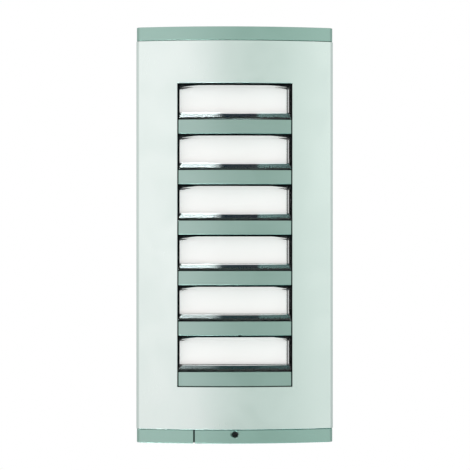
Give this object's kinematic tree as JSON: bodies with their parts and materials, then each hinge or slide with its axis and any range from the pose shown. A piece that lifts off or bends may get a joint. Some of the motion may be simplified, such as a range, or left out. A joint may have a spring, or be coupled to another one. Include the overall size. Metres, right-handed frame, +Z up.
{
  "type": "door intercom panel",
  "caption": "Wall-mounted door call panel: crowned aluminium front with lit name plate windows, bar call buttons, end caps and a lock screw, hinged on a wall box.",
  "frame": {"origin": "centre of the wall box's rear face, on the wall plane, at the middle of the panel's height", "axes": "+X to the right seen from the front, +Y into the wall, +Z up"},
  "size_m": [0.1174, 0.03, 0.2476],
  "materials": {
    "anodised_front": "satin anodised",
    "anodised_button": "satin anodised",
    "cap_paint": "satin",
    "clear_lens": "clear gloss",
    "card_white": "matt",
    "carrier_plastic": "fine grain",
    "diffuser_plastic": "opal",
    "seal_rubber": "matt",
    "box_plastic": "fine grain",
    "board_resin": "solder mask",
    "component_plastic": "matt",
    "terminal_plastic": "moulded",
    "lamp_plastic": "clear",
    "switch_plastic": "matt",
    "plunger_plastic": "moulded",
    "fixing_steel": "bright plated",
    "dark_steel": "blackened"
  },
  "bodies": {
    "wall_box": {"wall_box": "box_plastic", "wall_seal": "seal_rubber", "cable_grommet": "seal_rubber", "hinge_pins": "fixing_steel"},
    "front": {"front_profile": "anodised_front", "top_cap": "cap_paint", "bottom_cap": "cap_paint", "bottom_cap_side_piece": "cap_paint", "cap_screws": "fixing_steel", "cap_split_seal": "seal_rubber", "window_gasket": "seal_rubber", "call_carrier": "carrier_plastic", "light_diffuser": "diffuser_plastic", "circuit_board": "board_resin", "circuit_board_screws": "fixing_steel", "nameplate_leds": "lamp_plastic", "board_components": "component_plastic", "terminal_block": "terminal_plastic", "terminal_screws": "fixing_steel", "lock_screw_collar": "fixing_steel", "nameplate_lens_1": "clear_lens", "nameplate_lens_2": "clear_lens", "nameplate_lens_3": "clear_lens", "nameplate_lens_4": "clear_lens", "nameplate_lens_5": "clear_lens", "nameplate_lens_6": "clear_lens", "name_card_1": "card_white", "name_card_2": "card_white", "name_card_3": "card_white", "name_card_4": "card_white", "name_card_5": "card_white", "name_card_6": "card_white", "button_springs_1": "fixing_steel", "button_springs_2": "fixing_steel", "button_springs_3": "fixing_steel", "button_springs_4": "fixing_steel", "button_springs_5": "fixing_steel", "button_springs_6": "fixing_steel", "switch_housing_1": "switch_plastic", "switch_housing_2": "switch_plastic", "switch_housing_3": "switch_plastic", "switch_housing_4": "switch_plastic", "switch_housing_5": "switch_plastic", "switch_housing_6": "switch_plastic"},
    "lock_screw": {"lock_screw": "dark_steel"},
    "call_button_1": {"call_button_1": "anodised_button", "switch_plunger_1": "plunger_plastic"},
    "call_button_2": {"call_button_2": "anodised_button", "switch_plunger_2": "plunger_plastic"},
    "call_button_3": {"call_button_3": "anodised_button", "switch_plunger_3": "plunger_plastic"},
    "call_button_4": {"call_button_4": "anodised_button", "switch_plunger_4": "plunger_plastic"},
    "call_button_5": {"call_button_5": "anodised_button", "switch_plunger_5": "plunger_plastic"},
    "call_button_6": {"call_button_6": "anodised_button", "switch_plunger_6": "plunger_plastic"}
  },
  "joints": [
    {"name": "front_swing", "type": "hinge", "parent": "wall_box", "child": "front", "pos_m": [0, -0.00675, 0.1182], "axis": [-1, 0, 0], "range_deg": [0, 75]},
    {"name": "lock_screw_turn", "type": "hinge", "parent": "front", "child": "lock_screw", "pos_m": [0, -0.018, -0.11845], "axis": [0, 1, 0], "continuous": true},
    {"name": "call_button_1_press", "type": "slide", "parent": "front", "child": "call_button_1", "axis": [0, 1, 0], "range_m": [0, 0.0015], "stiffness_N_per_m": 600, "springref_m": -0.002, "deforming": ["button_springs_1"]},
    {"name": "call_button_2_press", "type": "slide", "parent": "front", "child": "call_button_2", "axis": [0, 1, 0], "range_m": [0, 0.0015], "stiffness_N_per_m": 600, "springref_m": -0.002, "deforming": ["button_springs_2"]},
    {"name": "call_button_3_press", "type": "slide", "parent": "front", "child": "call_button_3", "axis": [0, 1, 0], "range_m": [0, 0.0015], "stiffness_N_per_m": 600, "springref_m": -0.002, "deforming": ["button_springs_3"]},
    {"name": "call_button_4_press", "type": "slide", "parent": "front", "child": "call_button_4", "axis": [0, 1, 0], "range_m": [0, 0.0015], "stiffness_N_per_m": 600, "springref_m": -0.002, "deforming": ["button_springs_4"]},
    {"name": "call_button_5_press", "type": "slide", "parent": "front", "child": "call_button_5", "axis": [0, 1, 0], "range_m": [0, 0.0015], "stiffness_N_per_m": 600, "springref_m": -0.002, "deforming": ["button_springs_5"]},
    {"name": "call_button_6_press", "type": "slide", "parent": "front", "child": "call_button_6", "axis": [0, 1, 0], "range_m": [0, 0.0015], "stiffness_N_per_m": 600, "springref_m": -0.002, "deforming": ["button_springs_6"]}
  ]
}
